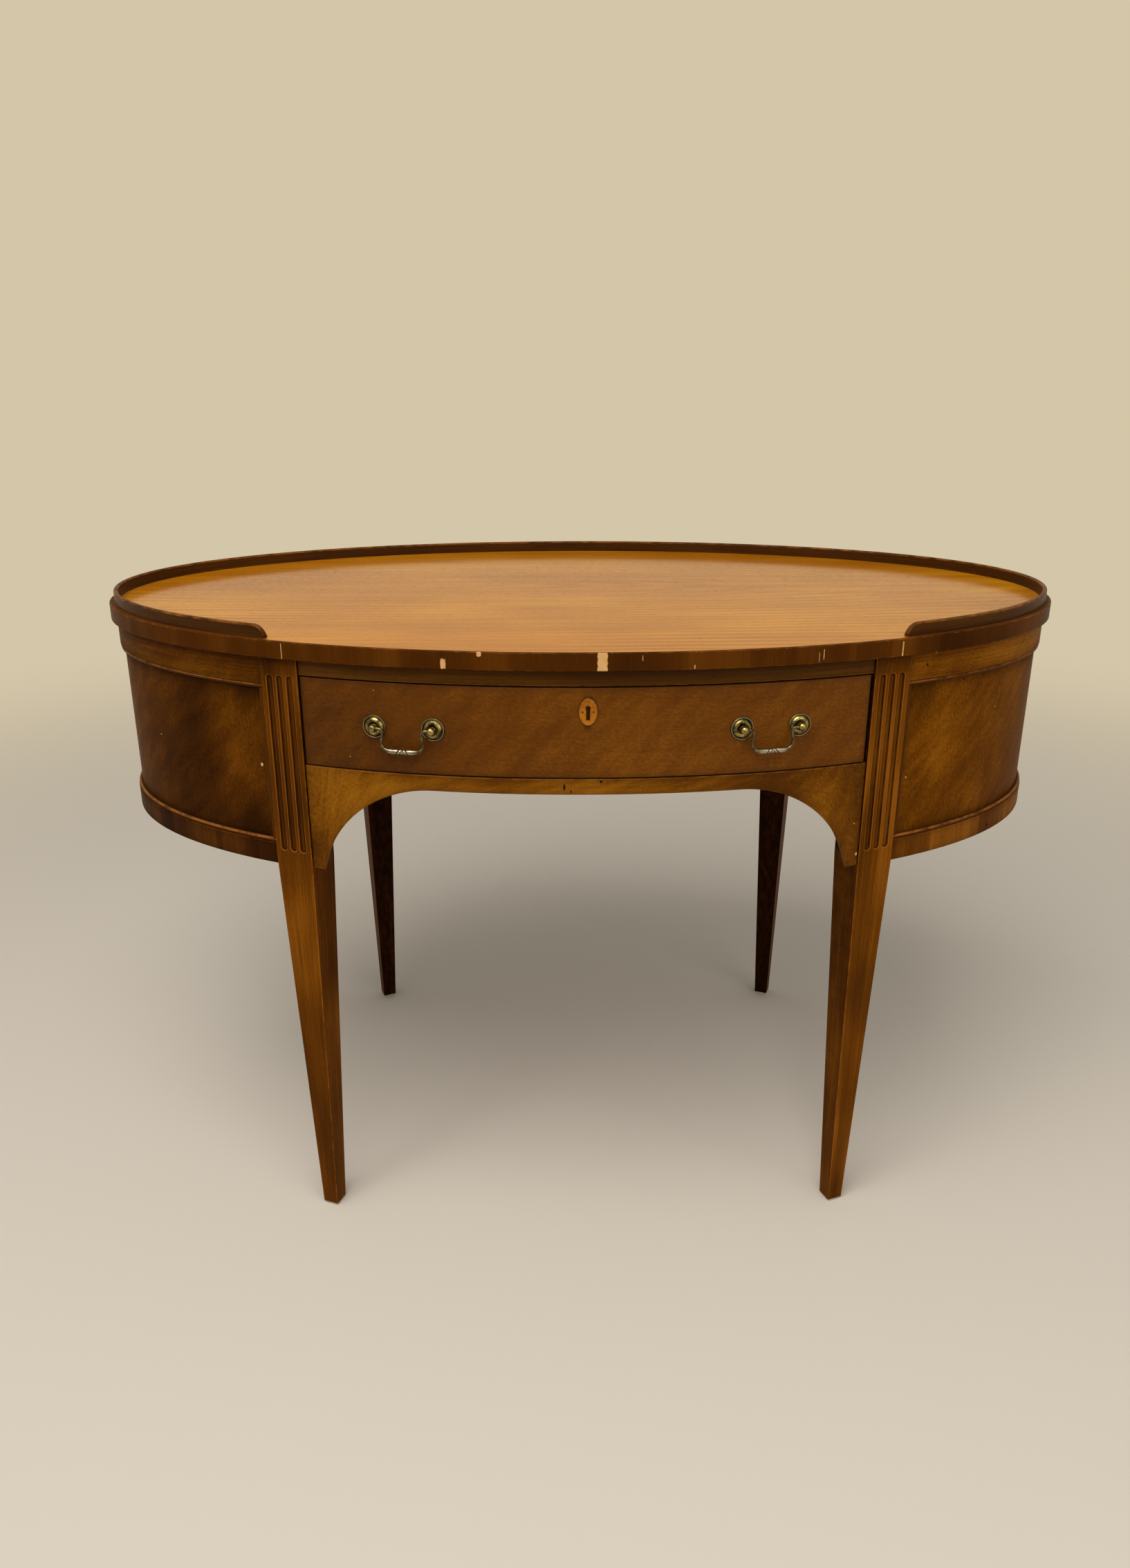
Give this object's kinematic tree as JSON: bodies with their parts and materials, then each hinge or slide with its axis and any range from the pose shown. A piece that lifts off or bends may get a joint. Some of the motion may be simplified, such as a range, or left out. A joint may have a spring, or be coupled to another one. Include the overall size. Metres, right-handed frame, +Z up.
{
  "type": "writing desk",
  "caption": "Oval writing desk with a bowed drawer, a low gallery, fluted corner posts, curved panelled ends, arched aprons and square tapered legs.",
  "frame": {"origin": "on the floor under the middle of the oval top", "axes": "+X along the oval's long axis, to the right seen from the drawer side; -Y towards the drawer side; +Z up"},
  "size_m": [1.2139, 0.71, 0.775],
  "materials": {
    "mahogany_top": "glossy french polish",
    "mahogany_case": "satin wax over old polish",
    "mahogany_edge": "dark satin polish, worn",
    "secondary_wood": "bare planed wood",
    "aged_brass": "aged, dark in the hollows",
    "boxwood": "pale close-grained, polished",
    "dull_steel": "dull",
    "foot_pad": "matt"
  },
  "bodies": {
    "frame": {"desk_top": "mahogany_top", "top_edge_band": "mahogany_edge", "gallery_rail": "mahogany_edge", "leg_front_left": "mahogany_case", "leg_front_right": "mahogany_case", "leg_rear_left": "mahogany_case", "leg_rear_right": "mahogany_case", "foot_glides": "foot_pad", "front_top_rail": "mahogany_case", "front_apron": "mahogany_case", "front_bearer": "secondary_wood", "back_panel": "mahogany_case", "rear_apron": "mahogany_case", "end_panel_left": "mahogany_case", "end_panel_right": "mahogany_case", "end_frieze_left": "mahogany_case", "end_frieze_right": "mahogany_case", "end_base_rail_left": "mahogany_case", "end_base_rail_right": "mahogany_case", "panel_beads_left": "mahogany_case", "panel_beads_right": "mahogany_case", "kneehole_wall_left": "mahogany_case", "kneehole_wall_right": "mahogany_case", "end_floor_left": "secondary_wood", "end_floor_right": "secondary_wood", "drawer_runner_left": "secondary_wood", "drawer_runner_right": "secondary_wood", "drawer_kicker_left": "secondary_wood", "drawer_kicker_right": "secondary_wood", "drawer_stops": "secondary_wood", "glue_blocks": "secondary_wood", "top_screws": "dull_steel"},
    "drawer": {"drawer_front": "mahogany_case", "drawer_side_left": "secondary_wood", "drawer_side_right": "secondary_wood", "drawer_back": "secondary_wood", "drawer_bottom": "secondary_wood", "escutcheon": "boxwood", "escutcheon_pins": "aged_brass", "lock_case": "aged_brass", "lock_screws": "dull_steel", "handle_rosettes": "aged_brass", "handle_posts": "aged_brass", "handle_nuts": "aged_brass"},
    "bail_left": {"bail_left": "aged_brass"},
    "bail_right": {"bail_right": "aged_brass"},
    "lock_bolt": {"lock_bolt": "dull_steel"}
  },
  "joints": [
    {"name": "drawer_slide", "type": "slide", "parent": "frame", "child": "drawer", "axis": [0, -1, 0], "range_m": [0, 0.36]},
    {"name": "bail_left_swing", "type": "hinge", "parent": "drawer", "child": "bail_left", "pos_m": [-0.2002, -0.3337, 0.67115], "axis": [-0.9799, 0.1996, 0], "range_deg": [-5, 150]},
    {"name": "bail_right_swing", "type": "hinge", "parent": "drawer", "child": "bail_right", "pos_m": [0.2002, -0.3337, 0.67115], "axis": [-0.9799, -0.1996, 0], "range_deg": [-5, 150]},
    {"name": "lock_bolt_slide", "type": "slide", "parent": "drawer", "child": "lock_bolt", "axis": [0, 0, 1], "range_m": [0, 0.007]}
  ]
}
